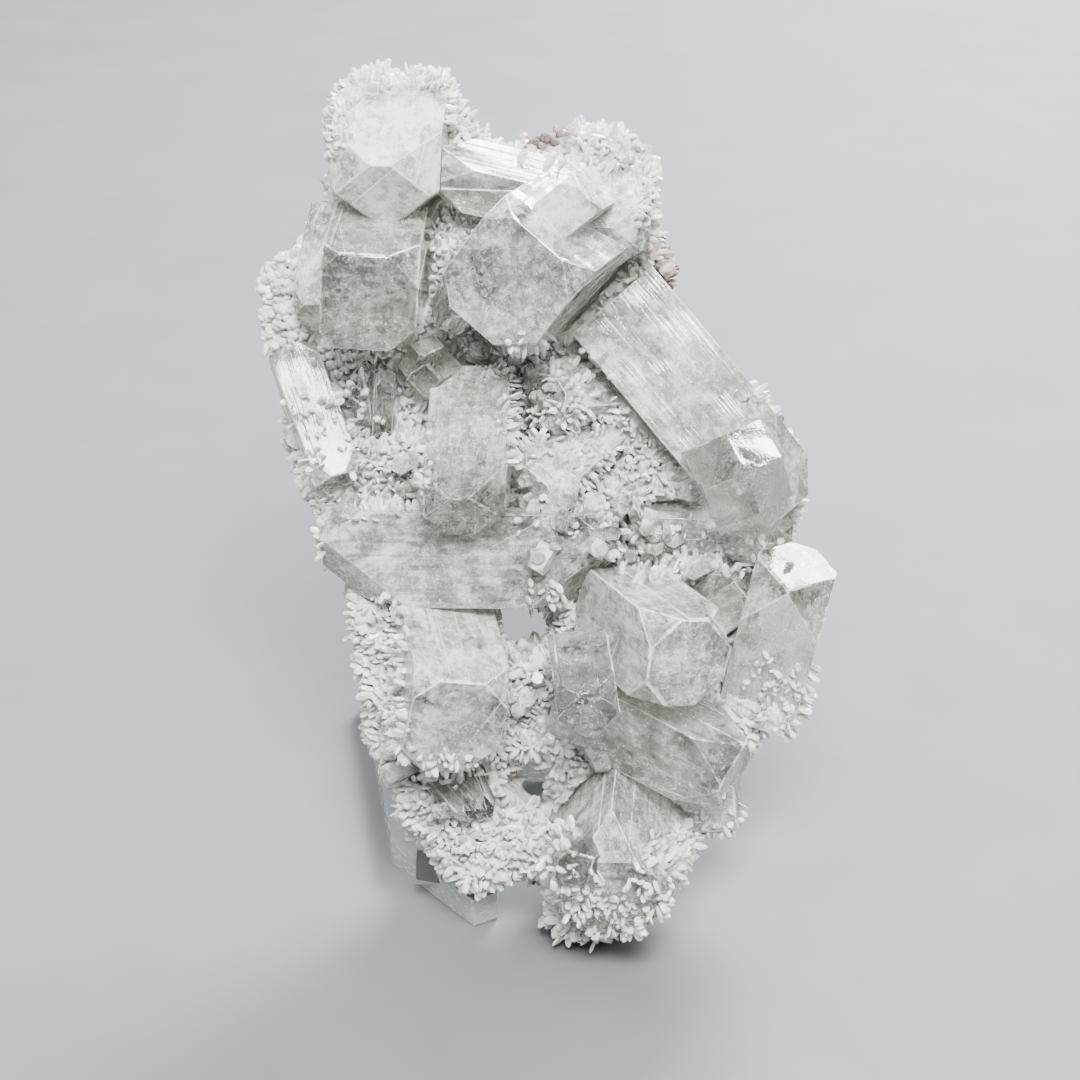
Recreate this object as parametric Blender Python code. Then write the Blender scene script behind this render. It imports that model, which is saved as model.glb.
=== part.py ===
"""Apophyllite cluster: clear crystals on a plate of white druse, leaning on a clear acrylic stand.

The plate has its own axes, in millimetres: u runs across it, v runs up it and w points out of
its front. The plate leans back from upright, and its lowest tip hangs just above the table.
The stand is laid out in table axes: x across, y away from the front and z up.
"""
import math
import random

import bmesh
import bpy
from mathutils import Matrix, Vector, noise
from mathutils.bvhtree import BVHTree

MM = 0.001
GAP = 0.3

LEAN = math.radians(30.0)
TIP_HEIGHT = 0.6

CRUST_BACK = -7.0
CRUST_FRONT = 2.5
CRUST_VOXEL = 2.0
CRUST_KEEP = 0.2
LUMPS = ((11.0, 2.2), (4.5, 0.9))
FLAT_BACK = 0.4
FOOT_TOP = 12.0
FOOT_SLOPE = 0.6

GRAIN_SEED = 7
GRAIN_LENGTH = (1.8, 3.0)
GRAIN_WIDTH = (1.6, 2.4)
GRAIN_ROOT = 1.4
GRAIN_SHOULDER = 0.55
GRAIN_NECK = 0.8
GRAIN_FLATNESS = 0.85
GRAIN_SIDES = 4
RIM_STEP = 3.8
FIELD_GRAIN_AREA = 10.5
BACK_GRAINS = 22
FAR = 30.0
NEAR = 8.0

FACET_TILT = math.radians(60.3)

SHEET = 5.0
REST_FRONT = -8.0

# The rim of the plate, clockwise from its top left corner.
RIM = [
    (-31.5, 126), (-29, 129), (-26, 130.5), (-22, 131), (-17, 131), (-14.5, 129), (-14, 125),
    (-12.5, 122.5), (-7.5, 120), (-4, 118), (0, 121), (4.5, 122.5), (10, 121), (13, 122),
    (14.5, 118), (14.5, 112.5), (16, 109.5), (17, 104), (18.5, 98), (19, 95), (22, 91),
    (25.5, 86), (30, 82.5), (34, 79), (37, 76), (38, 67), (37.5, 62), (32, 58), (30, 55.5),
    (32, 52), (36.5, 44), (36.5, 38), (34.5, 34.5), (31, 32), (29, 28), (28, 23), (25, 19),
    (23, 16), (20, 11), (16.5, 7), (14, 3.5), (10, 2), (5, 1.5), (2, 3), (1, 5.5), (3, 8),
    (1, 10), (-1, 12), (-4, 11.5), (-7, 9.8), (-10.5, 8.5), (-13.5, 10), (-16, 13), (-17, 15.5),
    (-19.5, 18.5), (-21, 22.5), (-24, 25), (-25.5, 28.5), (-27, 33), (-27, 38), (-27.5, 44),
    (-29, 49), (-28.5, 52), (-29.5, 55.5), (-32, 60), (-32.5, 64), (-33.5, 68), (-35, 71),
    (-37, 78), (-38.5, 84), (-40, 89), (-42, 91.5), (-41, 97), (-40, 100.5), (-37, 104),
    (-34, 108), (-31.5, 111), (-30.5, 116), (-31, 122),
]

# Holes right through the plate: two large ones with grains round their edges, and a small one.
LARGE_HOLES = [
    [(-9, 53), (-2, 54), (1.5, 49.5), (1.5, 45), (-3, 43), (-8.5, 44)],
    [(-6.5, 28), (-1, 29), (2, 25), (2.5, 18.5), (-1, 17), (-2.8, 21), (-7, 24)],
]
SMALL_HOLE = [(-33.6, 66.4), (-31.6, 66.4), (-31.2, 64.2), (-33.2, 64)]

# Where the druse shows between the crystals on the front: middle, half width, half height.
DRUSE_FIELDS = [
    (-36, 101, 5, 9), (-27, 40, 4, 16), (-15, 17, 9, 6), (-4, 36, 4, 9), (5, 66, 6, 6),
    (-20, 73, 3, 7), (8, 117, 6, 4), (12, 6, 9, 4), (6, 72, 5, 4), (-33, 64, 4, 4),
    (28, 57, 8, 3), (33, 36, 3, 4), (17, 106, 3, 5), (0, 26, 5, 3), (-20, 130, 8, 2),
]

# The stand's base plate, from the tip of its left prong round to the left.
BASE = [
    (-10.8, 5), (-7.3, 7), (-7, 12), (-7, 42), (4.4, 42), (4.4, 12), (5.5, 9), (8.5, 8),
    (21, 20), (28.5, 64), (24, 68), (-27, 68), (-31.5, 64), (-24, 20),
]

# The back rest, in the plate's own axes: two legs joined above the middle hole.
REST = [
    (-20, 8), (-7, 8), (-7, 57), (4.4, 57), (4.4, 8), (17, 8), (14, 68), (9, 73), (-12, 73),
    (-17, 68),
]


class Crystal:
    """A square prism from root to tip whose corners are cut by four sloping end facets.

    cuts gives how far each facet reaches down its prism edge, and root_cuts does the same at
    the other end. roll turns the prism about its length.
    """

    def __init__(self, root, tip, width, depth, roll=0.0, cuts=4.0, root_cuts=None):
        self.root = Vector(root)
        self.tip = Vector(tip)
        self.width = width
        self.depth = depth
        self.roll = math.radians(roll)
        self.cuts = self.four(cuts)
        self.root_cuts = self.four(root_cuts or 0.0)

    @staticmethod
    def four(value):
        return value if isinstance(value, tuple) else (value,) * 4

    def frame(self):
        along = (self.tip - self.root).normalized()
        guide = Vector((0, 0, 1)) if abs(along.z) < 0.75 else Vector((0, 1, 0))
        front = (guide - along * guide.dot(along)).normalized()
        side = front.cross(along)
        turn = Matrix.Rotation(self.roll, 3, along)
        return turn @ side, turn @ front, along

    def planes(self, grow):
        """Every face as a point on it and its outward normal."""
        side, front, along = self.frame()
        faces = [(self.tip, along), (self.root, -along)]
        for axis, size in ((side, self.width), (front, self.depth)):
            for sign in (1, -1):
                faces.append((self.root + axis * sign * size / 2, axis * sign))
        corners = ((1, 1), (-1, 1), (-1, -1), (1, -1))
        slope = math.sin(FACET_TILT) / math.sqrt(2)
        rise = math.cos(FACET_TILT)
        for (across, outward), cut, root_cut in zip(corners, self.cuts, self.root_cuts):
            edge = side * across * self.width / 2 + front * outward * self.depth / 2
            flat = (side * across + front * outward) * slope
            if cut:
                faces.append((self.tip + edge - along * cut, flat + along * rise))
            if root_cut:
                faces.append((self.root + edge + along * root_cut, flat - along * rise))
        return [(point + normal * grow, normal) for point, normal in faces]

    def mesh(self, grow=0.0):
        """The solid inside all of the planes, cut out of a large cube."""
        shape = bmesh.new()
        reach = (self.tip - self.root).length + self.width + self.depth
        middle = Matrix.Translation((self.tip + self.root) / 2)
        bmesh.ops.create_cube(shape, size=2 * reach, matrix=middle)
        for point, normal in self.planes(grow):
            everything = shape.verts[:] + shape.edges[:] + shape.faces[:]
            cut = bmesh.ops.bisect_plane(
                shape, geom=everything, plane_co=point, plane_no=normal, clear_outer=True)
            rim = [item for item in cut["geom_cut"] if isinstance(item, bmesh.types.BMEdge)]
            bmesh.ops.contextual_create(shape, geom=rim)
        bmesh.ops.remove_doubles(shape, verts=shape.verts[:], dist=0.01)
        bmesh.ops.recalc_face_normals(shape, faces=shape.faces[:])
        return finished(shape, "crystal")


# Each node's crystals. Sizes are millimetres and rolls are degrees.
CRYSTALS = {
    "crystal_top_left": [
        Crystal((-22, 125, -1), (-23.3, 109.5, 12), 16, 14, 4, (8, 8, 12, 12), 4),
    ],
    "crystal_upper_left": [
        Crystal((-24.5, 104, 1), (-25, 94.3, 18.5), 13.5, 14.5, -4, (5, 3, 3, 4.5)),
        Crystal((-30, 109, 0), (-32.5, 93, 7), 7.5, 9, 20, 3),
    ],
    "crystals_top": [
        Crystal((14, 109, 3), (-18, 115.5, 9), 7.8, 7.8, 45, 7),
        Crystal((4, 106, -1), (-5.5, 96.5, 21.5), 17, 16.5, 45, (4, 5, 6, 5)),
        Crystal((6, 111, 6), (2.5, 107, 21), 8, 6.5, 36, 2.5),
        Crystal((10, 117, -1), (9.5, 103, 10), 11.5, 9, 0, (7, 4, 4, 7)),
        Crystal((-11.5, 99, 4), (-13.5, 92.5, 12.5), 6, 5, 20, 3),
    ],
    "crystals_right": [
        Crystal((10.5, 96, 1), (36, 65, 3.5), 15.2, 12, 4, (12, 5, 5, 12)),
        Crystal((28, 70.5, 2), (27.8, 70, 25), 12, 12, 24, 13),
        Crystal((13, 63.5, -1), (37, 62, 2), 6.5, 8, 30, 3),
    ],
    "crystal_right_point": [
        Crystal((33, 36, -4), (36.8, 57, 13), 11.5, 11.5, -10, (12, 12, 9, 9)),
        Crystal((21, 48, -3), (30, 55, 3), 9, 8, 0, 3),
    ],
    "crystal_centre": [
        Crystal((-10.5, 84, 2), (-11.5, 64, 16.5), 11.5, 8.5, 6, (6, 5, 5, 6)),
        Crystal((-16.5, 86, 1), (-18, 87.2, 12), 7, 7, 42, 8),
    ],
    "crystal_crossbar": [
        Crystal((-33, 59, 3), (10.8, 58.5, 4), 14, 11, 12, (6, 13, 13, 6), (6, 13, 13, 6)),
    ],
    "crystal_left": [
        Crystal((-38, 89, 1), (-30.5, 69.5, 5), 7, 7, -10, 3, 3),
    ],
    "crystal_needles": [
        Crystal((-25, 77, 0), (-26.5, 87, 6), 2.6, 2.6, 30, 2.5),
        Crystal((-24.5, 77, 1), (-23.5, 86, 8), 3, 2.6, 10, 2.5),
        Crystal((-25.5, 77, 0), (-28.5, 83.5, 6), 2.4, 2.4, 50, 2.5),
    ],
    "crystals_middle": [
        Crystal((8, 77, -1), (-2, 68, 7), 9, 8, 15, 3),
        Crystal((7, 82, 0), (0, 81, 8), 8, 8, 30, 3),
    ],
    "crystal_lower_left": [
        Crystal((-16.5, 45.5, -1), (-12.8, 34, 17), 14, 16, -6, (5, 4, 5, 6)),
    ],
    "crystal_small_prisms": [
        Crystal((-17, 27, 1), (-10.5, 20, 5.5), 4, 4, 20, 3),
        Crystal((-12, 27, 0), (-8.5, 20.5, 6), 3, 3, 20, 2),
    ],
    "crystals_lower_right": [
        Crystal((10.5, 51, 1), (20, 43.5, 21.5), 12.5, 13, 0, 5),
        Crystal((4, 40, 0.8), (27.5, 28, 9.5), 11, 11, 35, 6),
        Crystal((5, 44.5, 9), (6, 36.5, 24.5), 8.5, 7, 10, 4),
    ],
    "crystal_bottom": [
        Crystal((11.5, 20, -1.5), (9.5, 9.5, 13.5), 15, 15, 45, (7, 6, 6, 6)),
        Crystal((5, 16.5, 6), (4, 14, 17.5), 8, 5.5, 30, 4),
    ],
    "crystal_bottom_right": [
        Crystal((17, 22, -4), (29, 22.5, -1), 10, 8, 0, 3),
    ],
}


def finished(shape, name):
    """A mesh from an edited shape."""
    mesh = bpy.data.meshes.new(name)
    shape.to_mesh(mesh)
    shape.free()
    return mesh


def added(name, mesh):
    solid = bpy.data.objects.new(name, mesh)
    bpy.context.scene.collection.objects.link(solid)
    return solid


def applied(solid):
    """The solid with its modifiers worked into its mesh."""
    evaluated = solid.evaluated_get(bpy.context.evaluated_depsgraph_get())
    mesh = bpy.data.meshes.new_from_object(evaluated)
    solid.modifiers.clear()
    solid.data = mesh
    return solid


def combined(solid, tool, operation, crossing=False):
    """The solid joined with or cut by a tool, which is used up."""
    step = solid.modifiers.new("Shape", "BOOLEAN")
    step.operation = operation
    step.solver = "EXACT"
    step.use_self = crossing
    step.object = tool
    applied(solid)
    bpy.data.objects.remove(tool)
    return solid


def extruded(name, outline, low, high):
    """A flat outline given a thickness along its third axis."""
    shape = bmesh.new()
    corners = [shape.verts.new((a, b, low)) for a, b in outline]
    face = shape.faces.new(corners)
    grown = bmesh.ops.extrude_face_region(shape, geom=[face])
    lifted = [item for item in grown["geom"] if isinstance(item, bmesh.types.BMVert)]
    bmesh.ops.translate(shape, verts=lifted, vec=(0, 0, high - low))
    bmesh.ops.recalc_face_normals(shape, faces=shape.faces[:])
    return added(name, finished(shape, name))


def keep_largest(solid):
    """Drops the crumbs that a cut leaves beside the main body."""
    shape = bmesh.new()
    shape.from_mesh(solid.data)
    left = set(shape.verts)
    bodies = []
    while left:
        start = left.pop()
        body = {start}
        edge_of_body = [start]
        while edge_of_body:
            vertex = edge_of_body.pop()
            for edge in vertex.link_edges:
                other = edge.other_vert(vertex)
                if other not in body:
                    body.add(other)
                    edge_of_body.append(other)
        left -= body
        bodies.append(body)
    bodies.sort(key=len)
    for crumb in bodies[:-1]:
        bmesh.ops.delete(shape, geom=list(crumb), context="VERTS")
    shape.to_mesh(solid.data)
    shape.free()
    return solid


def crystal_group(name, grow=0.0):
    """One node's crystals, grown together into one solid."""
    first, *others = CRYSTALS[name]
    solid = added(name, first.mesh(grow))
    for other in others:
        combined(solid, added("other", other.mesh(grow)), "UNION")
    return solid


def back_at(v):
    """How far back the plate reaches: it thins towards its lowest tip."""
    return CRUST_BACK + max(0.0, FOOT_TOP - v) * FOOT_SLOPE


def lumpy(solid):
    """Rounds a slab and pushes its skin in and out in lumps and knobs."""
    blocks = solid.modifiers.new("Round", "REMESH")
    blocks.mode = "VOXEL"
    blocks.voxel_size = CRUST_VOXEL
    applied(solid)
    for vertex in solid.data.vertices:
        place = vertex.co.copy()
        push = sum(height * noise.noise(place / size) for size, height in LUMPS)
        vertex.co = place + vertex.normal * push
        vertex.co.z = max(vertex.co.z, back_at(vertex.co.y) - FLAT_BACK)
    fewer = solid.modifiers.new("Fewer", "DECIMATE")
    fewer.ratio = CRUST_KEEP
    return applied(solid)


def add_grain(shape, foot, direction, length, width, turn):
    """A blunt four-sided druse crystal that stands on foot and points along direction."""
    along = direction.normalized()
    across = along.orthogonal().normalized()
    across.rotate(Matrix.Rotation(turn, 3, along))
    beside = along.cross(across)
    rings = []
    for height, size in ((-GRAIN_ROOT, GRAIN_NECK), (GRAIN_SHOULDER * length, 1.0)):
        ring = []
        for step in range(GRAIN_SIDES):
            angle = math.tau * step / GRAIN_SIDES
            spoke = across * math.cos(angle) + beside * math.sin(angle) * GRAIN_FLATNESS
            ring.append(shape.verts.new(foot + along * height + spoke * size * width / 2))
        rings.append(ring)
    lower, upper = rings
    peak = shape.verts.new(foot + along * length)
    shape.faces.new(reversed(lower))
    for step in range(GRAIN_SIDES):
        after = (step + 1) % GRAIN_SIDES
        shape.faces.new((lower[step], lower[after], upper[after], upper[step]))
        shape.faces.new((upper[step], upper[after], peak))


def rim_places(outline, step):
    """Points along a closed outline, each with its outward direction."""
    for (u0, v0), (u1, v1) in zip(outline, outline[1:] + outline[:1]):
        start = Vector((u0, v0, 0))
        run = Vector((u1, v1, 0)) - start
        count = max(1, round(run.length / step))
        outward = Vector((-run.y, run.x, 0)).normalized()
        for number in range(count):
            yield start + run * (number + 0.5) / count, outward


def druse(crust):
    """The grains that stand on the plate's rim, in its holes, on its front and on its back."""
    draw = random.Random(GRAIN_SEED)
    tree = BVHTree.FromObject(crust, bpy.context.evaluated_depsgraph_get())
    shape = bmesh.new()

    def plant(start, aim, lean):
        foot, normal, _, _ = tree.ray_cast(start, aim)
        if foot is None:
            return
        tilt = Vector((draw.uniform(-1, 1), draw.uniform(-1, 1), draw.uniform(-1, 1)))
        direction = (normal - aim).normalized() + tilt * lean
        length = draw.uniform(*GRAIN_LENGTH)
        width = draw.uniform(*GRAIN_WIDTH)
        add_grain(shape, foot, direction, length, width, draw.uniform(0, math.tau))

    for place, outward in rim_places(RIM, RIM_STEP):
        height = draw.uniform(back_at(place.y) + 1, CRUST_FRONT - 1)
        plant(place + outward * NEAR + Vector((0, 0, height)), -outward, 0.5)
    for hole in LARGE_HOLES:
        for place, outward in rim_places(hole, RIM_STEP):
            height = draw.uniform(CRUST_BACK + 2, CRUST_FRONT - 2)
            plant(place - outward * 2 + Vector((0, 0, height)), outward, 0.3)
    for u, v, half_width, half_height in DRUSE_FIELDS:
        for _ in range(round(math.pi * half_width * half_height / FIELD_GRAIN_AREA)):
            angle = draw.uniform(0, math.tau)
            far = math.sqrt(draw.random())
            start = Vector((u + half_width * far * math.cos(angle),
                            v + half_height * far * math.sin(angle), FAR))
            plant(start, Vector((0, 0, -1)), 0.6)
    sides = [u for u, _ in RIM]
    top = max(v for _, v in RIM)
    above_rest = max(v for _, v in REST) + GRAIN_LENGTH[1]
    for _ in range(BACK_GRAINS):
        u = draw.uniform(min(sides) + NEAR, max(sides) - NEAR)
        v = draw.uniform(above_rest, top - NEAR)
        plant(Vector((u, v, -FAR)), Vector((0, 0, 1)), 0.8)
    return added("grains", finished(shape, "grains"))


def make_crust():
    """The plate of druse, with its holes, its grains and a pocket for every crystal."""
    crust = extruded("druse_crust", RIM, CRUST_BACK, CRUST_FRONT)
    for hole in LARGE_HOLES + [SMALL_HOLE]:
        combined(crust, extruded("hole", hole, -FAR, FAR), "DIFFERENCE")
    lumpy(crust)
    combined(crust, druse(crust), "UNION", crossing=True)
    for name in CRYSTALS:
        combined(crust, crystal_group(name, GAP), "DIFFERENCE")
    seat = make_stand(GAP)
    seat.data.transform(plate_to_table().inverted())
    combined(crust, seat, "DIFFERENCE")
    return keep_largest(crust)


def make_crystals():
    """Every crystal node, with room left round the nodes made before it."""
    made = []
    for name in CRYSTALS:
        solid = crystal_group(name)
        for earlier in made:
            combined(solid, crystal_group(earlier.name, GAP), "DIFFERENCE")
        made.append(keep_largest(solid))
    return made


def plate_to_table():
    """The move from the plate's axes to the table's, both in millimetres."""
    return Matrix.Translation((0, 0, TIP_HEIGHT)) @ Matrix.Rotation(math.pi / 2 - LEAN, 4, "X")


def widened(outline, grow):
    """A clockwise or anticlockwise outline with every side moved outwards."""
    corners = [Vector(corner) for corner in outline]
    area = sum(a.cross(b) for a, b in zip(corners, corners[1:] + corners[:1]))
    hand = 1 if area > 0 else -1
    moved = []
    for before, here, after in zip(corners[-1:] + corners, corners, corners[1:] + corners[:1]):
        one = (here - before).normalized()
        two = (after - here).normalized()
        outward = (Vector((one.y, -one.x)) + Vector((two.y, -two.x))) * hand
        moved.append(here + outward * grow / (1 + one.dot(two)))
    return moved


def make_stand(grow=0.0):
    """The acrylic base plate with its two prongs, and the rest that leans with the cluster."""
    stand = extruded("acrylic_stand", widened(BASE, grow), -grow, SHEET + grow)
    low, high = REST_FRONT - SHEET - grow, REST_FRONT + grow
    rest = extruded("rest", widened(REST, grow), low, high)
    rest.data.transform(plate_to_table())
    return combined(stand, rest, "UNION")


def material(name, colour, roughness, transmission=0.0, ior=1.5):
    made = bpy.data.materials.new(name)
    made.use_nodes = True
    shader = made.node_tree.nodes["Principled BSDF"]
    shader.inputs["Base Color"].default_value = (*colour, 1)
    shader.inputs["Roughness"].default_value = roughness
    shader.inputs["Transmission Weight"].default_value = transmission
    shader.inputs["IOR"].default_value = ior
    return made


def main():
    for thing in list(bpy.data.objects):
        bpy.data.objects.remove(thing)
    crust = make_crust()
    crystals = make_crystals()
    for solid in [crust] + crystals:
        solid.data.transform(plate_to_table())
    stand = make_stand()
    nodes = [crust, stand] + crystals
    corners = [vertex.co for solid in nodes for vertex in solid.data.vertices]
    centre = [(min(p[axis] for p in corners) + max(p[axis] for p in corners)) / 2 for axis in (0, 1)]
    to_origin = Matrix.Scale(MM, 4) @ Matrix.Translation((-centre[0], -centre[1], 0))
    for solid in nodes:
        solid.data.transform(to_origin)
    crust.data.materials.append(material("white_druse", (0.82, 0.81, 0.77), 0.55))
    stand.data.materials.append(material("clear_acrylic", (0.95, 0.96, 0.97), 0.05, 1.0, 1.49))
    for solid in crystals:
        solid.data.materials.append(material("apophyllite", (0.84, 0.87, 0.82), 0.1, 0.8, 1.535))


if __name__ == "__main__":
    main()
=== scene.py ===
"""How the apophyllite cluster looks: crystals, druse and a clear stand, dressed over the CAD part.

The cluster is drawn in the plate's own axes, in millimetres: u runs across the plate, v up it
and w out of its front. The plate leans back from upright. PLATE moves it to the part's axes.
"""
import math
import random

import bmesh
import bpy
import numpy as np
from mathutils import Matrix, Vector, noise
from mathutils.bvhtree import BVHTree


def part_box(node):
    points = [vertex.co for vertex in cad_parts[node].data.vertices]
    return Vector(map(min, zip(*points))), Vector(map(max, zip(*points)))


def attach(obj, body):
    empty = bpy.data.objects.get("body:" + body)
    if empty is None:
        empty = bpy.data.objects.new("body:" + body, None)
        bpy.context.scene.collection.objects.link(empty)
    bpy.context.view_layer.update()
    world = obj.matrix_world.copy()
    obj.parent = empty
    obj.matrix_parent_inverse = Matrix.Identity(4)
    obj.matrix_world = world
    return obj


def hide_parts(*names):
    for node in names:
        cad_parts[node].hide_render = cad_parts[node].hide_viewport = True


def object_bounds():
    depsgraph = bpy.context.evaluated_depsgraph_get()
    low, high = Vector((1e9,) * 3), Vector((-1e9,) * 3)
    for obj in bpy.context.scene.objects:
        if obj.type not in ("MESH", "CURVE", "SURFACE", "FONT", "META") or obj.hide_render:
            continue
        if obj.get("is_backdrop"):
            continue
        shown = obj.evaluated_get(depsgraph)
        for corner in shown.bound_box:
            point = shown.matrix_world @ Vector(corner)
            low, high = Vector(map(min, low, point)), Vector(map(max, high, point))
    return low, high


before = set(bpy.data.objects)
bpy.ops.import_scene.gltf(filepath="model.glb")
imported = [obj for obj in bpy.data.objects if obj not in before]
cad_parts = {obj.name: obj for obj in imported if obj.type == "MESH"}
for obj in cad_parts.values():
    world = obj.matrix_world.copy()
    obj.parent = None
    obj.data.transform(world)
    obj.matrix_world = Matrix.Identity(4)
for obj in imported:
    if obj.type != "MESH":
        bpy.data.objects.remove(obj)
CAD_BOX = [corner.copy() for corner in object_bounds()]

MM = 0.001
UP = Vector((0, 0, 1))

# How the plate leans, how high its lowest tip hangs, and where the stand begins.
LEAN = math.radians(30.0)
TIP_HEIGHT = 0.6
STAND_LEFT = -31.5
STAND_FRONT = 5.0
stand_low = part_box("acrylic_stand")[0] / MM
ORIGIN = Vector((stand_low.x - STAND_LEFT, stand_low.y - STAND_FRONT, TIP_HEIGHT))
PLATE = (Matrix.Scale(MM, 4) @ Matrix.Translation(ORIGIN)
         @ Matrix.Rotation(math.pi / 2 - LEAN, 4, "X"))


# ---- Meshes

# Points this close are one point: in a copy of a CAD solid, in a cut block, in a bevelled one.
COPY_WELD = 0.001
BLOCK_WELD = 0.01
BEVEL_WELD = 0.004
SKIN_VOXEL = 0.8

# How often a join or cut is tried, how often as a plain one, how far the tool moves each time,
# and the least share of the volume that has to be left.
TRIES = 5
PLAIN_TRIES = 3
HAIR = 0.011
LEAST_LEFT = {"UNION": 0.97, "DIFFERENCE": 0.3}


def finished(shape, name):
    """A mesh from an edited shape."""
    mesh = bpy.data.meshes.new(name)
    shape.to_mesh(mesh)
    shape.free()
    return mesh


def added(name, mesh):
    thing = bpy.data.objects.new(name, mesh)
    bpy.context.scene.collection.objects.link(thing)
    return thing


def applied(thing):
    """The thing with its modifiers worked into its mesh."""
    evaluated = thing.evaluated_get(bpy.context.evaluated_depsgraph_get())
    mesh = bpy.data.meshes.new_from_object(evaluated)
    thing.modifiers.clear()
    thing.data = mesh
    return thing


def volume(solid):
    """The room inside a closed thing's mesh."""
    shape = bmesh.new()
    shape.from_mesh(solid.data)
    amount = shape.calc_volume()
    shape.free()
    return amount


def combined(solid, tool, operation):
    """The solid joined with or cut by a tool, which is used up.

    Where thin slivers upset the operation, it is tried again with the tool a hair to the side.
    """
    before = solid.data
    least = volume(solid) * LEAST_LEFT[operation]
    for attempt in range(TRIES):
        solid.data = before
        step = solid.modifiers.new("Shape", "BOOLEAN")
        step.operation = operation
        step.solver = "EXACT"
        step.material_mode = "TRANSFER"
        step.use_self = attempt >= PLAIN_TRIES
        step.object = tool
        applied(solid)
        if volume(solid) > least:
            break
        tool.data.transform(Matrix.Translation((HAIR, -HAIR * attempt, HAIR)))
    bpy.data.objects.remove(tool)
    return solid


def copy_of(*nodes):
    """A joined-up copy of CAD nodes' meshes, in the plate's axes."""
    shape = bmesh.new()
    for node in nodes:
        shape.from_mesh(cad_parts[node].data)
    bmesh.ops.transform(shape, matrix=PLATE.inverted(), verts=shape.verts)
    bmesh.ops.remove_doubles(shape, verts=shape.verts, dist=COPY_WELD)
    return finished(shape, nodes[0] + "_copy")


def search_tree(*nodes):
    """The surface of CAD nodes, to look for the nearest or the highest point on."""
    shape = bmesh.new()
    shape.from_mesh(copy_of(*nodes))
    tree = BVHTree.FromBMesh(shape)
    shape.free()
    return tree


def fine_skin(name, *nodes):
    """A fine, even mesh over CAD nodes."""
    skin = added(name, copy_of(*nodes))
    blocks = skin.modifiers.new("Fine", "REMESH")
    blocks.mode = "VOXEL"
    blocks.voxel_size = SKIN_VOXEL
    return applied(skin)


def placed(thing, name, slot, *nodes):
    """Moves a piece from the plate's axes to the part's, inside its box, and ties it to it."""
    thing.name = name
    thing.data.name = name
    thing.data.transform(PLATE)
    places = np.empty(len(thing.data.vertices) * 3, np.float32)
    thing.data.vertices.foreach_get("co", places)
    inside = np.clip(places.reshape(-1, 3), *CAD_BOX)
    thing.data.vertices.foreach_set("co", inside.ravel())
    thing.data.update()
    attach(thing, "root")
    if nodes:
        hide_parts(*nodes)
    return thing


# ---- Crystals

# The end facets' tilt from the prism's length, and a length steeper than this one's rise is
# turned to face up the plate.
FACET_TILT = math.radians(60.3)
STEEP = 0.75

# The room between crystals, the width of their bevelled edges, the bend that counts as an edge,
# and the width below which a face counts as a bevel.
SEAM = 0.05
CHAMFER = 0.1
LEAST_BEND = 0.3
NARROW = 0.28

# Growth steps: the least area that is parted, the share of parts that rise and by how much.
STEP_FACE = 12.0
STEP_CHANCE = 0.5
STEP_HEIGHT = (0.06, 0.22)
STEP_SLOPE = (0.5, 1.4)
WALL_CUTS = (1, 2, 2, 3)
END_CUTS = (0, 1)
WALL_LEAN = 0.2
LENGTHWISE = 0.75
CUT_LEANS = (0.02, 0.02, 0.12, 1.0)
CUT_SHIFT = 0.35
LEAST_LEAN = 0.05

OWN_PATTERN = 7


class Crystal:
    """A square prism from root to tip whose corners are cut by four sloping end facets.

    cuts gives how far each facet reaches down its prism edge, and root_cuts does the same at
    the other end. roll turns the prism about its length. haze runs from 0, clear, to 1, milky.
    """

    def __init__(self, root, tip, width, depth, roll=0.0, cuts=4.0, root_cuts=None, haze=0.5):
        self.root = Vector(root)
        self.tip = Vector(tip)
        self.width = width
        self.depth = depth
        self.roll = math.radians(roll)
        self.cuts = self.four(cuts)
        self.root_cuts = self.four(root_cuts or 0.0)
        self.haze = haze

    @staticmethod
    def four(value):
        return value if isinstance(value, tuple) else (value,) * 4

    def frame(self):
        along = (self.tip - self.root).normalized()
        guide = UP if abs(along.z) < STEEP else Vector((0, 1, 0))
        front = (guide - along * guide.dot(along)).normalized()
        side = front.cross(along)
        turn = Matrix.Rotation(self.roll, 3, along)
        return turn @ side, turn @ front, along

    def planes(self, grow=0.0):
        """Every face as a point on it and its outward normal, moved outwards by grow."""
        side, front, along = self.frame()
        faces = [(self.tip + along * grow, along), (self.root - along * grow, -along)]
        for normal, size in ((side, self.width), (-side, self.width), (front, self.depth),
                             (-front, self.depth)):
            faces.append((self.root + normal * (size / 2 + grow), normal))
        corners = ((1, 1), (-1, 1), (-1, -1), (1, -1))
        slope = math.sin(FACET_TILT) / math.sqrt(2)
        rise = math.cos(FACET_TILT)
        for (across, outward), cut, root_cut in zip(corners, self.cuts, self.root_cuts):
            edge = side * across * self.width / 2 + front * outward * self.depth / 2
            flat = (side * across + front * outward) * slope
            for end, depth, lift in ((self.tip, cut, rise), (self.root, root_cut, -rise)):
                if depth:
                    normal = flat + along * lift
                    inward = along * depth * (1 if lift > 0 else -1)
                    faces.append((end + edge - inward + normal * grow, normal))
        return faces

    def length(self):
        return (self.tip - self.root).length

    def block(self, grow=0.0, reach=None):
        """The plain form as an edited shape, cut out of a cube that reaches that far."""
        middle = (self.tip + self.root) / 2
        reach = reach or self.length() + self.width + self.depth
        return cut_block(self.planes(grow), middle, reach)


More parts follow.
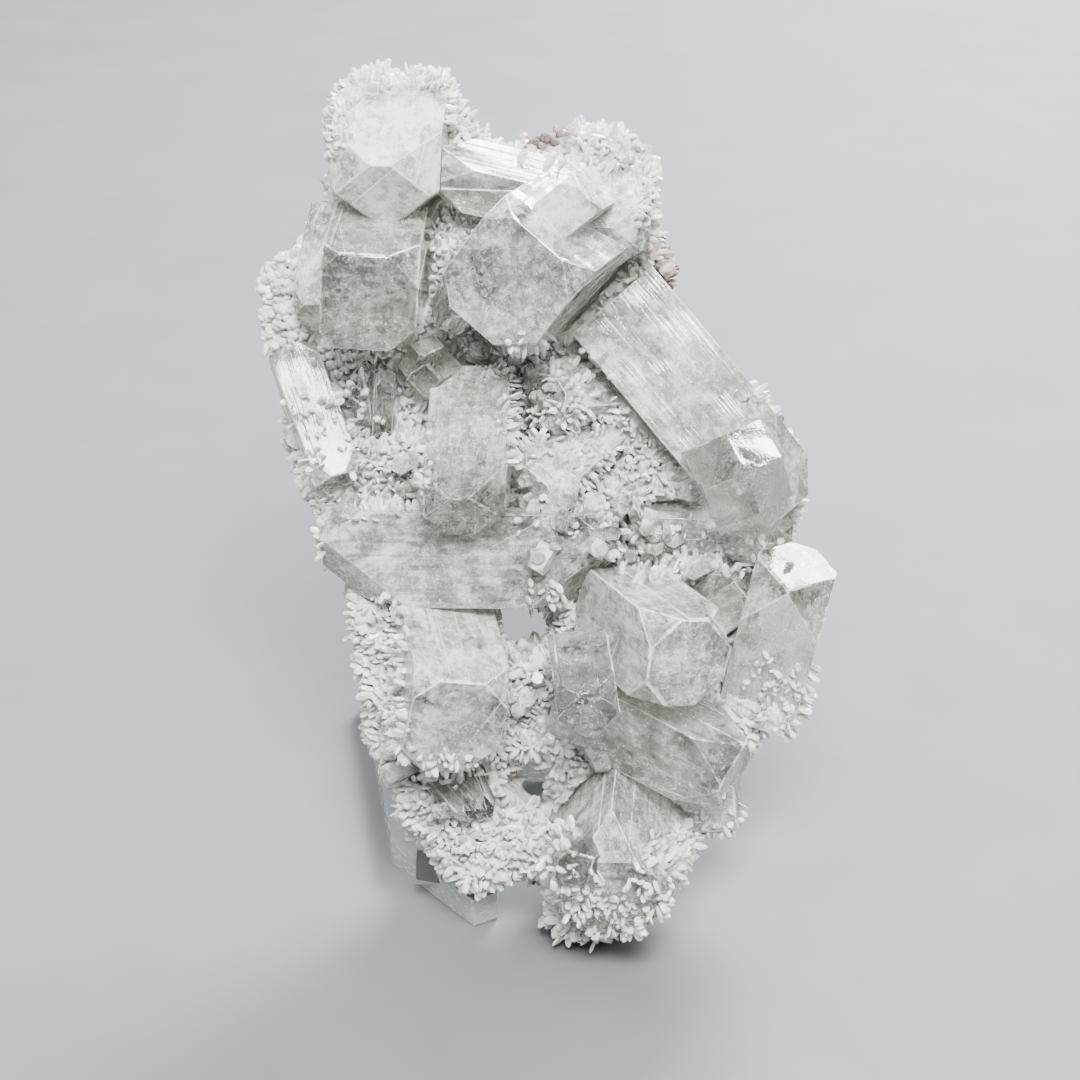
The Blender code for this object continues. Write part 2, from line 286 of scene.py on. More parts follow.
def cut_block(planes, middle, reach):
    """The solid inside all of the planes, cut out of a large cube."""
    shape = bmesh.new()
    bmesh.ops.create_cube(shape, size=2 * reach, matrix=Matrix.Translation(middle))
    for point, normal in planes:
        slice_off(shape, point, normal)
    bmesh.ops.remove_doubles(shape, verts=shape.verts[:], dist=BLOCK_WELD)
    bmesh.ops.recalc_face_normals(shape, faces=shape.faces[:])
    return shape


def slice_off(shape, point, normal):
    """Cuts away what lies past a plane and closes the cut."""
    everything = shape.verts[:] + shape.edges[:] + shape.faces[:]
    cut = bmesh.ops.bisect_plane(
        shape, geom=everything, plane_co=point, plane_no=normal, clear_outer=True)
    rim = [item for item in cut["geom_cut"] if isinstance(item, bmesh.types.BMEdge)]
    bmesh.ops.contextual_create(shape, geom=rim)


def chamfered(shape, width):
    """Takes a narrow strip off every edge of a convex solid."""
    bmesh.ops.recalc_face_normals(shape, faces=shape.faces[:])
    shape.normal_update()
    strips = []
    for edge in shape.edges:
        if len(edge.link_faces) == 2:
            one, two = (face.normal for face in edge.link_faces)
            between = one + two
            if between.length > LEAST_BEND:
                between.normalize()
                lift = width / 2 * math.sqrt(max(0.0, 1 - one.dot(between) ** 2))
                middle = (edge.verts[0].co + edge.verts[1].co) / 2
                strips.append((middle - between * lift, between))
    for point, normal in strips:
        slice_off(shape, point, normal)
    bmesh.ops.remove_doubles(shape, verts=shape.verts[:], dist=BEVEL_WELD)
    bmesh.ops.recalc_face_normals(shape, faces=shape.faces[:])
    return shape


def stepped(shape, along, draw):
    """Parts the larger faces of a crystal along straight lines and raises some of the parts."""
    large = [face for face in shape.faces if face.calc_area() > STEP_FACE]
    for face in large:
        wall = abs(face.normal.dot(along)) < WALL_LEAN
        flow = along if wall else face.normal.orthogonal().normalized()
        parts = [face]
        for _ in range(draw.choice(WALL_CUTS if wall else END_CUTS)):
            part = max(parts, key=lambda one: one.calc_area())
            middle = part.calc_center_median()
            spread = math.sqrt(part.calc_area())
            lean = face.normal.cross(flow) * (1 if draw.random() < LENGTHWISE else 0.1)
            lean += flow * draw.choice(CUT_LEANS) * draw.uniform(-1, 1)
            shift = face.normal.cross(flow) * draw.uniform(-CUT_SHIFT, CUT_SHIFT) * spread
            if lean.length < LEAST_LEAN:
                continue
            cut = bmesh.ops.bisect_plane(
                shape, geom=[part] + part.edges[:] + part.verts[:],
                plane_co=middle + shift, plane_no=lean.normalized())
            halves = [item for item in cut["geom"] if isinstance(item, bmesh.types.BMFace)]
            parts = [one for one in parts if one.is_valid and one is not part] + halves
        for part in parts:
            if part.is_valid and part.calc_area() > STEP_FACE / 3 and draw.random() < STEP_CHANCE:
                rise = draw.uniform(*STEP_HEIGHT)
                bmesh.ops.inset_individual(
                    shape, faces=[part], thickness=rise * draw.uniform(*STEP_SLOPE), depth=rise,
                    use_even_offset=True)


def grown(crystal, number, draw):
    """One crystal with narrow bevelled edges and its growth steps, as one solid."""
    shape = chamfered(crystal.block(), CHAMFER)
    stepped(shape, crystal.frame()[2], draw)
    solid = added("body", finished(shape, "body"))
    solid.data.materials.append(growth_mark(number))
    return solid


def growth_mark(number):
    """A stand-in material that tells which crystal a face belongs to."""
    name = f"growth {number}"
    return bpy.data.materials.get(name) or bpy.data.materials.new(name)


# Root, tip, width, depth, roll, cuts and root cuts of each node's crystals, and their haze.
C = Crystal
CRYSTALS = {
    "crystal_top_left": [
        C((-22, 125, -1), (-23.3, 109.5, 12), 16, 14, 4, (8, 8, 12, 12), 4, haze=0.85),
    ],
    "crystal_upper_left": [
        C((-24.5, 104, 1), (-25, 94.3, 18.5), 13.5, 14.5, -4, (5, 3, 3, 4.5), haze=0.4),
        C((-30, 109, 0), (-32.5, 93, 7), 7.5, 9, 20, 3, haze=0.7),
    ],
    "crystals_top": [
        C((14, 109, 3), (-18, 115.5, 9), 7.8, 7.8, 45, 7, haze=0.55),
        C((4, 106, -1), (-5.5, 96.5, 21.5), 17, 16.5, 45, (4, 5, 6, 5), haze=0.6),
        C((6, 111, 6), (2.5, 107, 21), 8, 6.5, 36, 2.5, haze=0.8),
        C((10, 117, -1), (9.5, 103, 10), 11.5, 9, 0, (7, 4, 4, 7), haze=0.75),
        C((-11.5, 99, 4), (-13.5, 92.5, 12.5), 6, 5, 20, 3, haze=0.05),
    ],
    "crystals_right": [
        C((10.5, 96, 1), (36, 65, 3.5), 15.2, 12, 4, (12, 5, 5, 12), haze=0.5),
        C((28, 70.5, 2), (27.8, 70, 25), 12, 12, 24, 13, haze=0.0),
        C((13, 63.5, -1), (37, 62, 2), 6.5, 8, 30, 3, haze=0.45),
    ],
    "crystal_right_point": [
        C((32.6, 36, -4), (36.2, 56.6, 13), 11.5, 11.5, -10, (7.5, 7.5, 5, 5), haze=0.4),
        C((21, 48, -3), (30, 55, 3), 9, 8, 0, 3, haze=0.4),
    ],
    "crystal_centre": [
        C((-10.5, 84, 2), (-11.5, 64, 16.5), 11.5, 8.5, 6, (6, 5, 5, 6), haze=0.4),
        C((-16.5, 86, 1), (-18, 87.2, 12), 7, 7, 42, 8, haze=0.25),
    ],
    "crystal_crossbar": [
        C((-33, 59, 3), (10.8, 58.5, 4), 14, 11, 12, (6, 13, 13, 6), (6, 13, 13, 6), haze=0.5),
    ],
    "crystal_left": [
        C((-38, 89, 1), (-30.5, 69.5, 5), 7, 7, -10, 3, 3, haze=0.2),
    ],
    "crystal_needles": [
        C((-25, 77, 0), (-26.5, 87, 6), 2.6, 2.6, 30, 2.5, haze=0.1),
        C((-24.5, 77, 1), (-23.5, 86, 8), 3, 2.6, 10, 2.5, haze=0.1),
        C((-25.5, 77, 0), (-28.5, 83.5, 6), 2.4, 2.4, 50, 2.5, haze=0.1),
    ],
    "crystals_middle": [
        C((8, 77, -1), (-2, 68, 7), 9, 8, 15, 3, haze=0.7),
        C((7, 82, 0), (0, 81, 8), 8, 8, 30, 3, haze=0.6),
    ],
    "crystal_lower_left": [
        C((-16.5, 45.5, -1), (-12.8, 34, 17), 14, 16, -6, (5, 4, 5, 6), haze=0.65),
    ],
    "crystal_small_prisms": [
        C((-17, 27, 1), (-10.5, 20, 5.5), 4, 4, 20, 3, haze=0.2),
        C((-12, 27, 0), (-8.5, 20.5, 6), 3, 3, 20, 2, haze=0.2),
    ],
    "crystals_lower_right": [
        C((10.5, 51, 1), (20, 43.5, 21.5), 12.5, 13, 0, 5, haze=0.6),
        C((4, 38.8, 1.2), (27.5, 26.8, 10.2), 11, 11, 30, 6, haze=0.35),
        C((5, 44.5, 9), (6, 36.5, 24.5), 8.5, 7, 10, 4, haze=0.15),
    ],
    "crystal_bottom": [
        C((11.5, 20, -1.5), (9.5, 9.5, 13.5), 15, 15, 45, (7, 6, 6, 6), haze=0.55),
        C((5, 16.5, 6), (4, 14, 17.5), 8, 5.5, 30, 4, haze=0.2),
    ],
    "crystal_bottom_right": [
        C((17, 22, -4), (29, 22.5, -1), 10, 8, 0, 3, haze=0.5),
    ],
}
CLEAR = ("crystal_upper_left", "crystal_right_point", "crystal_centre", "crystal_left",
         "crystal_needles", "crystal_small_prisms")
GROWTH_SEED = 11


def crystal_group(node):
    """One node's crystals with their growth steps, grown together into one solid."""
    solid = None
    for number, crystal in enumerate(CRYSTALS[node]):
        draw = random.Random(f"{GROWTH_SEED} {node} {number}")
        body = grown(crystal, number, draw)
        solid = body if solid is None else combined(solid, body, "UNION")
    return solid


def outer_block(node, grow):
    """The plain outer form of a node's crystals, a little larger, to cut its neighbours with."""
    solid = None
    for crystal in CRYSTALS[node]:
        body = added("block", finished(crystal.block(grow), "block"))
        solid = body if solid is None else combined(solid, body, "UNION")
    return solid


def meet(one, other):
    """Whether the boxes round two CAD nodes come within a millimetre of each other."""
    (low, high), (other_low, other_high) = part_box(one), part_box(other)
    return all(a - MM < d and c - MM < b
               for a, b, c, d in zip(low, high, other_low, other_high))


def note_growth(solid, crystals):
    """Gives each face corner its place along its own crystal, for the material's patterns."""
    mesh = solid.data
    mesh.attributes.new("growth", "FLOAT_VECTOR", "CORNER")
    mesh.attributes.new("habit", "FLOAT_VECTOR", "CORNER")
    mesh.attributes.new("edge", "FLOAT", "CORNER")
    growth, habit = mesh.attributes["growth"], mesh.attributes["habit"]
    edge = mesh.attributes["edge"]
    frames = [crystal.frame() for crystal in crystals]
    names = [slot.name for slot in mesh.materials if slot]
    for face in mesh.polygons:
        name = names[face.material_index] if face.material_index < len(names) else ""
        number = int(name.split()[-1]) if name.startswith("growth") else 0
        number = min(number, len(crystals) - 1)
        crystal, (side, front, along) = crystals[number], frames[number]
        length = crystal.length()
        corners = [mesh.vertices[index].co for index in face.vertices]
        longest = max((a - b).length for a, b in zip(corners, corners[1:] + corners[:1]))
        narrow = face.area / max(longest, 0.01) < NARROW
        for loop in face.loop_indices:
            edge.data[loop].value = 1.0 if narrow else 0.0
            place = mesh.vertices[mesh.loops[loop].vertex_index].co - crystal.root
            reach = place.dot(along)
            growth.data[loop].vector = (place.dot(side), place.dot(front), reach)
            habit.data[loop].vector = (
                reach / length, crystal.haze, number / OWN_PATTERN + length)


def make_crystals(clear, cloudy):
    """Every crystal node's dressed solid, with a hair of room round those made before it."""
    made = []
    for node in CRYSTALS:
        solid = crystal_group(node)
        for earlier in made:
            if meet(node, earlier):
                combined(solid, outer_block(earlier, SEAM), "DIFFERENCE")
        note_growth(solid, CRYSTALS[node])
        solid.data.materials.clear()
        solid.data.materials.append(clear if node in CLEAR else cloudy)
        for face in solid.data.polygons:
            face.material_index = 0
        made.append(node)
        yield node, solid


LITTLE_SEED = 31
LITTLE_SIZE = (1.3, 3.2)
LITTLE_LENGTH = (0.9, 1.8)
LITTLE_DEPTH = (0.7, 1.0)
LITTLE_HAZE = (0.5, 0.9)
LITTLE_CUT = 0.45
LITTLE_LEAN = 0.55
LITTLE_BLOCK = 12

# They are looked for from this height down, and none stands lower, steeper or nearer a crystal.
ABOVE_ALL = 60
LOWEST_FOOT = -1
LEAST_RISE = 0.2
OFF_CRYSTALS = 0.3

# Where they stand: middle u and v, half width and height, how many, and if on crystals too.
LITTLE = [
    (5, 62, 6, 4, 10, True), (15, 62, 7, 4, 9, True), (-19, 72, 3, 4, 4, False),
    (18, 71, 4, 4, 5, False), (2, 70, 7, 5, 8, True), (3, 86, 6, 5, 7, True),
    (-9, 88, 4, 3, 5, False), (-25, 66, 6, 2, 3, True), (-31, 80, 3, 8, 4, False),
    (4, 52, 4, 2, 4, False), (-4, 40, 3, 8, 5, False), (-18, 30, 5, 4, 4, False),
    (-12, 22, 6, 4, 6, False), (7.5, 26, 2, 4, 4, False), (10, 10, 8, 5, 5, False),
    (20, 30, 5, 4, 3, False), (33, 40, 4, 5, 4, False), (24, 54, 7, 3, 7, False),
    (10, 117, 7, 3, 5, False), (15, 104, 2, 6, 3, False), (-8, 108, 3, 3, 4, False),
]


def inside_box(mesh):
    """Whether a mesh in the plate's axes is inside the CAD model's box."""
    low, high = CAD_BOX
    return all(a < place < b for vertex in mesh.vertices
               for a, place, b in zip(low, PLATE @ vertex.co, high))


def little_crystals(ground, crystal_tree, glass):
    """Short crystals that stand out of the druse, as one piece."""
    draw = random.Random(LITTLE_SEED)
    together = bmesh.new()
    for u, v, half_width, half_height, count, anywhere in LITTLE:
        for _ in range(count):
            above = Vector((u + draw.uniform(-1, 1) * half_width,
                            v + draw.uniform(-1, 1) * half_height, ABOVE_ALL))
            foot, normal, _, _ = ground.ray_cast(above, -UP)
            size = draw.uniform(*LITTLE_SIZE)
            lean = Vector([draw.gauss(0, LITTLE_LEAN) for _ in range(3)])
            long, turn = draw.uniform(*LITTLE_LENGTH), draw.uniform(0, 90)
            if foot is None or foot.z < LOWEST_FOOT or normal.z < LEAST_RISE:
                continue
            if not anywhere and crystal_tree.find_nearest(foot, OFF_CRYSTALS)[0] is not None:
                continue
            aim = (normal + UP * 0.5 + lean).normalized()
            crystal = Crystal(foot - aim * size * 0.6, foot + aim * size * long * 0.8, size,
                              size * draw.uniform(*LITTLE_DEPTH), turn, size * LITTLE_CUT,
                              haze=draw.uniform(*LITTLE_HAZE))
            body = added("little", finished(crystal.block(reach=LITTLE_BLOCK), "little"))
            if inside_box(body.data):
                note_growth(body, [crystal])
                together.from_mesh(body.data)
            bpy.data.objects.remove(body)
    thing = added("little_crystals", finished(together, "little_crystals"))
    thing.data.materials.append(glass)
    return thing


# ---- Materials

CRYSTAL_IOR = 1.535
CRYSTAL_TINT = (0.86, 0.92, 0.84, 1)
CRYSTAL_ABSORPTION = 18.0
DRUSE_IOR = 1.5
ACRYLIC_IOR = 1.49
ACRYLIC_COLOUR = (0.97, 0.985, 0.99, 1)
ACRYLIC_CLEARNESS = 0.92
FLOOR_ROUGHNESS = 0.7


class Graph:
    """Short calls for building a material or a geometry tree."""

    def __init__(self, tree):
        self.tree = tree

    def node(self, kind, values=(), **settings):
        """A node with its settings, and its inputs filled from values or from other sockets."""
        made = self.tree.nodes.new(kind)
        for key, value in settings.items():
            setattr(made, key, value)
        for key, value in dict(values).items():
            self.feed(made.inputs[key], value)
        return made

    def feed(self, socket, value):
        if isinstance(value, bpy.types.NodeSocket):
            self.tree.links.new(value, socket)
        else:
            socket.default_value = value

    def math(self, operation, *values):
        return self.node("ShaderNodeMath", enumerate(values), operation=operation).outputs[0]

    def vector(self, operation, *values):
        return self.node("ShaderNodeVectorMath", enumerate(values),
                         operation=operation).outputs[0]

    def ramp(self, value, *stops):
        """A colour ramp with the stops given as place and colour."""
        made = self.node("ShaderNodeValToRGB", {0: value})
        points = made.color_ramp.elements
        while len(points) < len(stops):
            points.new(0.5)
        for point, (place, colour) in zip(points, stops):
            point.position = place
            point.color = (*colour, 1)
        return made.outputs[0]

    def noise(self, vector, scale, detail=3.0, roughness=0.55, distortion=0.0):
        return self.node("ShaderNodeTexNoise", {
            "Vector": vector, "Scale": scale, "Detail": detail, "Roughness": roughness,
            "Distortion": distortion}).outputs[0]

    def map(self, value, low, high, to_low, to_high):
        return self.node("ShaderNodeMapRange", {
            0: value, 1: low, 2: high, 3: to_low, 4: to_high}).outputs[0]

    def blend(self, share, one, two):
        """The colour between one and two."""
        made = self.node("ShaderNodeMix", data_type="RGBA")
        self.feed(made.inputs[0], share)
        self.feed(made.inputs[6], one)
        self.feed(made.inputs[7], two)
        return made.outputs[2]

    def bump(self, height, strength, distance):
        return self.node("ShaderNodeBump", {
            "Height": height, "Strength": strength, "Distance": distance}).outputs[0]

    def stretched(self, vector, scale):
        return self.node("ShaderNodeMapping", {"Vector": vector, "Scale": scale}).outputs[0]

    def attribute(self, name, output="Fac"):
        return self.node("ShaderNodeAttribute", attribute_name=name).outputs[output]


class Surface(Graph):
    """A new material, with short calls for its nodes and its shader's inputs."""

    def __init__(self, name):
        self.material = bpy.data.materials.new(name)
        self.material.use_nodes = True
        super().__init__(self.material.node_tree)
        self.shader = self.tree.nodes["Principled BSDF"]

    def set(self, name, value):
        self.feed(self.shader.inputs[name], value)

    def place(self):
        """The point's place in the part's axes, in metres."""
        return self.node("ShaderNodeTexCoord").outputs["Object"]


def crystal_glass(name, absorbs):
    """Clear to milky greenish crystal: hazier at the root, with fine lines along its faces.

    It is patterned along each crystal's own axes, in millimetres, and never the same twice.
    """
    look = Surface(name)
    growth = look.attribute("growth", "Vector")
    habit = look.node("ShaderNodeSeparateXYZ", {0: look.attribute("habit", "Vector")})
    along, haze, own = habit.outputs
    shift = look.node("ShaderNodeCombineXYZ", {0: own, 1: own, 2: own}).outputs[0]
    place = look.vector("ADD", growth, shift)

    clouds = look.noise(place, 0.14, 1.0, 0.6, 0.8)
    wisps = look.noise(look.stretched(place, (0.6, 0.6, 0.2)), 0.8, 2.0, 0.6, 1.2)
    mottle = look.noise(place, 0.9, 2.0, 0.75)
    specks = look.noise(place, 4.2, 1.0, 0.7)
    lines = look.noise(look.stretched(place, (2.6, 2.6, 0.05)), 1.0, 1.0, 0.7)
    cloudy = look.math("ADD", look.map(clouds, 0.3, 0.7, -0.3, 0.3),
                       look.map(mottle, 0.36, 0.64, -0.17, 0.17))
    cloudy = look.math("ADD", cloudy, look.map(wisps, 0.45, 0.68, 0.0, 0.35))
    cloudy = look.math("ADD", cloudy, look.map(lines, 0.35, 0.65, -0.05, 0.05))
    ridge = look.math("ABSOLUTE", look.math("SUBTRACT", wisps, 0.5))
    veins = look.math("MULTIPLY", look.map(ridge, 0.0, 0.008, 1.0, 0.0),
                      look.map(clouds, 0.45, 0.6, 0.0, 0.55))
    strength = look.map(haze, 0.0, 0.6, 0.3, 1.0)
    clearing = look.math("MULTIPLY", look.map(along, 0.35, 1.0, 0.1, -0.45),
                         look.math("SUBTRACT", 1.0, haze))
    milk = look.math("MULTIPLY_ADD", cloudy, strength, look.math("ADD", haze, clearing))
    bright = look.math("MULTIPLY", look.map(specks, 0.58, 0.64, 0.0, 0.55),
                       look.map(mottle, 0.45, 0.6, 0.1, 1.0))
    milk = look.math("ADD", look.math("ADD", milk, bright), veins)
    # The narrow bevels turn whitish and milky along the wisps: partly frosted, worn edges and
    # partly painted highlight along the crystals' edges.
    edge = look.math("MULTIPLY", look.attribute("edge"), look.map(wisps, 0.4, 0.62, 0.3, 0.9))
    milk = look.math("ADD", milk, edge)
    milk = look.node("ShaderNodeClamp", {0: milk, 1: 0.0, 2: 1.2}).outputs[0]

    colour = look.ramp(milk, (0.0, (0.975, 0.985, 0.98)), (0.45, (0.87, 0.885, 0.82)),
                       (0.95, (0.965, 0.97, 0.935)))
    look.set("Base Color", colour)
    look.set("Transmission Weight", look.map(milk, 0.05, 1.15, 0.98, 0.18))
    look.set("Roughness", look.map(milk, 0.45, 1.1, 0.0, 0.18))
    look.set("IOR", CRYSTAL_IOR)

    uneven = look.noise(place, 0.2, 0.0)
    relief = look.map(along, 0.55, 0.9, 0.2, 0.04)
    height = look.math("MULTIPLY_ADD", lines, relief, uneven)
    look.set("Normal", look.bump(height, 0.5, 0.0009))

    if absorbs:
        tint = look.node("ShaderNodeVolumeAbsorption", {
            "Color": CRYSTAL_TINT, "Density": CRYSTAL_ABSORPTION})
        output = look.tree.nodes["Material Output"]
        look.tree.links.new(tint.outputs[0], output.inputs["Volume"])
    return look.material


def veil_material():
    """The flecks inside the crystals."""
    look = Surface("milky inclusion")
    place = look.place()
    tone = look.noise(place, 900.0, 2.0)
    look.set("Base Color", look.ramp(
        tone, (0.3, (0.80, 0.82, 0.79)), (0.7, (0.95, 0.96, 0.95))))
    look.set("Roughness", look.map(tone, 0.3, 0.7, 0.12, 0.4))
    return look.material


def druse_material():
    """Sugary white grains: clearer at their tips, darker cream at the foot as painted shade
    between the grains, brown where stained.
    """
    look = Surface("white druse grains")
    place = look.place()
    height = look.attribute("height")
    tone = look.attribute("tone")
    stain = look.attribute("stain")
    fine = look.noise(place, 1400.0, 3.0, 0.6)
    # Painted shade: the white darkens to cream towards each grain's foot, with a random tone for
    # each grain on top.
    white = look.ramp(look.math("ADD", height, look.map(tone, 0, 1, -0.25, 0.25)),
                      (0.0, (0.90, 0.89, 0.83)), (0.4, (0.955, 0.955, 0.925)),
                      (1.0, (0.99, 0.99, 0.985)))
    stained = look.ramp(look.math("ADD", stain, look.map(tone, 0, 1, -0.22, 0.22)),
                        (0.2, (0.87, 0.82, 0.775)), (0.6, (0.70, 0.61, 0.565)),
                        (0.95, (0.33, 0.28, 0.275)))
    look.set("Base Color", look.blend(look.map(stain, 0.05, 0.5, 0.0, 1.0), white, stained))
    look.set("Transmission Weight", look.map(look.math("ADD", height, tone), 0.8, 1.9, 0.0, 0.35))
    look.set("Roughness", look.map(fine, 0.3, 0.7, 0.1, 0.3))
    look.set("IOR", DRUSE_IOR)
    look.set("Normal", look.bump(fine, 0.25, 0.00012))
    return look.material


def crust_material():
    """The knobbly plate under the grains: white, and pinkish brown where stained."""
    look = Surface("druse crust")
    place = look.place()
    stain = look.attribute("stain")
    coarse = look.noise(place, 260.0, 2.0, 0.6)
    cells = look.node("ShaderNodeTexVoronoi", {"Vector": place, "Scale": 900.0})
    white = look.ramp(coarse, (0.3, (0.78, 0.76, 0.69)), (0.6, (0.89, 0.885, 0.85)),
                      (0.8, (0.95, 0.95, 0.93)))
    brown = look.ramp(coarse, (0.3, (0.34, 0.27, 0.245)), (0.6, (0.56, 0.47, 0.42)),
                      (0.8, (0.72, 0.64, 0.58)))
    look.set("Base Color", look.blend(stain, white, brown))
    look.set("Roughness", look.map(coarse, 0.3, 0.7, 0.3, 0.6))
    look.set("Normal", look.bump(cells.outputs[0], 0.7, 0.0005))
    return look.material


def acrylic_material():
    """Clear sheet with faint smears and scratches."""
    look = Surface("clear acrylic")
    place = look.place()
    smears = look.noise(place, 60.0, 3.0)
    scratches = look.noise(look.stretched(place, (1.0, 12.0, 1.0)), 300.0, 2.0)
    look.set("Base Color", ACRYLIC_COLOUR)
    look.set("Transmission Weight", ACRYLIC_CLEARNESS)
    look.set("IOR", ACRYLIC_IOR)
    look.set("Roughness", look.map(smears, 0.4, 0.75, 0.015, 0.06))
    look.set("Normal", look.bump(scratches, 0.03, 0.0001))
    return look.material


def frosted_material():
    """The sawn edges of the acrylic sheet."""
    look = Surface("frosted acrylic edge")
    place = look.place()
    saw = look.noise(look.stretched(place, (1.0, 1.0, 6.0)), 700.0, 3.0)
    patches = look.noise(place, 90.0, 3.0)
    look.set("Base Color", look.ramp(
        patches, (0.3, (0.90, 0.93, 0.94)), (0.7, (0.97, 0.98, 0.985))))
    look.set("Transmission Weight", look.map(patches, 0.3, 0.7, 0.35, 0.6))
    look.set("Roughness", look.map(saw, 0.3, 0.7, 0.18, 0.3))
    look.set("IOR", ACRYLIC_IOR)
    look.set("Normal", look.bump(saw, 0.12, 0.00005))
    return look.material


def floor_material():
    """Even and pale, and barely uneven in tone."""
    look = Surface("pale floor")
    place = look.place()
    look.set("Base Color", look.ramp(
        look.noise(place, 40.0), (0.3, (0.285, 0.29, 0.295)), (0.7, (0.305, 0.31, 0.315))))
    look.set("Roughness", FLOOR_ROUGHNESS)
    return look.material


# ---- Inclusions

VEIL_SEED = 23
LEAST_VEILS = 3
VEIL_ROOM = 6.0
VEIL_LEANS = (0.15, 0.9)
VEIL_RADIUS = (0.12, 0.4)
VEIL_BREADTH = 0.6
VEIL_THICKNESS = 0.12
FLECK_SIZE = (0.1, 0.45)
FLECK_LEAN = 0.35
FLECK_DEPTH = 0.4


def inclusions(material):
    """Flecks inside the crystals, in flat veils across their length and in loose clouds."""
    draw = random.Random(VEIL_SEED)
    shape = bmesh.new()
    for node, crystals in CRYSTALS.items():
        for crystal in crystals:
            planes = crystal.planes()
            side, front, along = crystal.frame()
            length = crystal.length()
            area = crystal.width * length
            veils = max(LEAST_VEILS, round(area * (0.25 + crystal.haze) / VEIL_ROOM))
            for _ in range(veils):
                where = crystal.root + along * length * draw.uniform(0.1, 0.97)
                where += side * crystal.width * draw.uniform(-0.4, 0.4)
                where += front * crystal.depth * draw.uniform(-0.4, 0.4)
                lean = Vector([draw.gauss(0, 1) for _ in range(3)]) * draw.choice(VEIL_LEANS)
                normal = (along + lean).normalized()
                across = normal.orthogonal().normalized()
                beside = normal.cross(across)
                radius = draw.uniform(*VEIL_RADIUS) * crystal.width
                for _ in range(round(4 + radius * 5)):
                    turn = draw.uniform(0, math.tau)
                    far = radius * abs(draw.gauss(0, 0.5))
                    middle = (where + across * math.cos(turn) * far
                              + beside * math.sin(turn) * far * VEIL_BREADTH
                              + normal * draw.gauss(0, VEIL_THICKNESS))
                    if all((middle - point).dot(out) < -FLECK_DEPTH for point, out in planes):
                        add_fleck(shape, middle, normal, draw)
    thing = added("inclusions", finished(shape, "inclusions"))
    thing.data.materials.append(material)
    return thing


def add_fleck(shape, middle, normal, draw):
    """A tiny flat splinter with four faces."""
    tilt = Vector([draw.gauss(0, FLECK_LEAN) for _ in range(3)])
    out = (normal + tilt).normalized()
    across = out.orthogonal().normalized()
    across.rotate(Matrix.Rotation(draw.uniform(0, math.tau), 3, out))
    beside = out.cross(across)
    size = draw.uniform(*FLECK_SIZE)
    ring = []
    for step in range(3):
        angle = math.tau * step / 3
        ring.append(shape.verts.new(
            middle + across * math.cos(angle) * size + beside * math.sin(angle) * size * 0.6))
    peak = shape.verts.new(middle + out * size * 0.2)
    shape.faces.new(reversed(ring))
    for step in range(3):
        shape.faces.new((ring[step], ring[(step + 1) % 3], peak))


# ---- Druse

# The plate is sunk under its grains and given lumps, as size and height. Grains keep off crystals.
CRUST_SINK = 0.35
CRUST_LUMPS = ((2.3, 0.35), (1.1, 0.25))
POCKET_REACH = 0.9

# What faces this far back, behind this depth, is the back.
BACK_FACING = -0.35
BACK_DEPTH = -3.5

# Patches of the druse, as middle u and v, half width and half height: the stained ones, with how
# far, those with rounded knobs, and the lower hole, which grains leave open.
STAINS = [(17.5, 97, 5, 12, 0.55), (0.5, 121, 4.5, 2.6, 1.0), (35, 42, 5, 6, 0.35),
          (14, 117, 5, 5, 0.3), (25, 82, 6, 6, 0.25)]
KNOBS = [(-37, 99, 8, 14), (0.5, 121, 6, 4)]
LOWER_HOLE = (-2.4, 24.0, 4.4, 4.8)

# Patches where druse creeps over the crystals, with how thickly.
COVERED = [
    (-21, 129, 10, 2.6, 1.0), (-30, 122, 2.6, 6, 0.8), (-12.5, 124, 2.4, 5, 0.8),
    (8, 119, 10, 4.5, 1.0), (15.5, 113, 3, 7, 0.9), (2, 78, 10, 4, 0.9), (7, 70, 6, 8, 0.8),
    (-1, 86, 8, 4, 0.7), (-3, 76, 3, 8, 0.5), (-19, 70, 3, 6, 0.6), (-24, 65.5, 6, 2.2, 0.8),
    (4, 63.5, 8, 3, 0.5), (12, 67, 4, 6, 0.7), (-23.5, 39, 3.2, 13, 1.0), (-17, 27, 8, 3, 0.9),
    (9, 7, 10, 5.5, 1.0), (18, 12, 4.5, 7, 0.8), (2.5, 14, 2.6, 6, 0.5), (35, 38, 4.5, 6, 0.7),
    (22, 60.5, 13, 2.6, 0.6), (24, 18, 5, 6, 0.7), (-36, 84, 2, 6, 0.4), (-33, 75, 2, 5, 0.5),
    (26, 57, 8, 2, 0.6), (0.5, 52, 3, 3, 0.5), (16.5, 56.5, 5, 2.4, 0.5), (33, 81, 5, 2.5, 0.4),
    (-28.5, 78, 4, 8, 0.35), (-34, 60, 2, 4, 0.7),
]
BACK_STAIN = 0.7
RAGGED_STAIN = 0.35
SKIN_STAIN = 0.6
LEAST_KNOBBY = 0.05
MOST_DENSE = 9.0
GRAIN_SIZES = ("Spacing", "Least length", "Most length", "Breadth", "Lean", "Seed")

# How far grains lean with their neighbours, and on their own.
CLUMPING = 4.0
STRAY = 0.6


def inside_patch(place, u, v, half_width, half_height):
    """1 in the middle of an oval patch, falling to 0 outside it."""
    far = math.hypot((place.x - u) / half_width, (place.y - v) / half_height)
    return max(0.0, min(1.0, 1.6 - 1.2 * far))


def stain_at(place, normal):
    """How far the druse is stained pinkish brown, from 0 to 1."""
    stain = max(share * inside_patch(place, *patch) for *patch, share in STAINS)
    ragged = noise.noise(place * 0.25) * RAGGED_STAIN
    if normal.z < -0.2 and place.z < -3:
        stain = max(stain, BACK_STAIN + ragged)
    return max(0.0, min(1.0, stain + ragged * (stain > 0.1)))


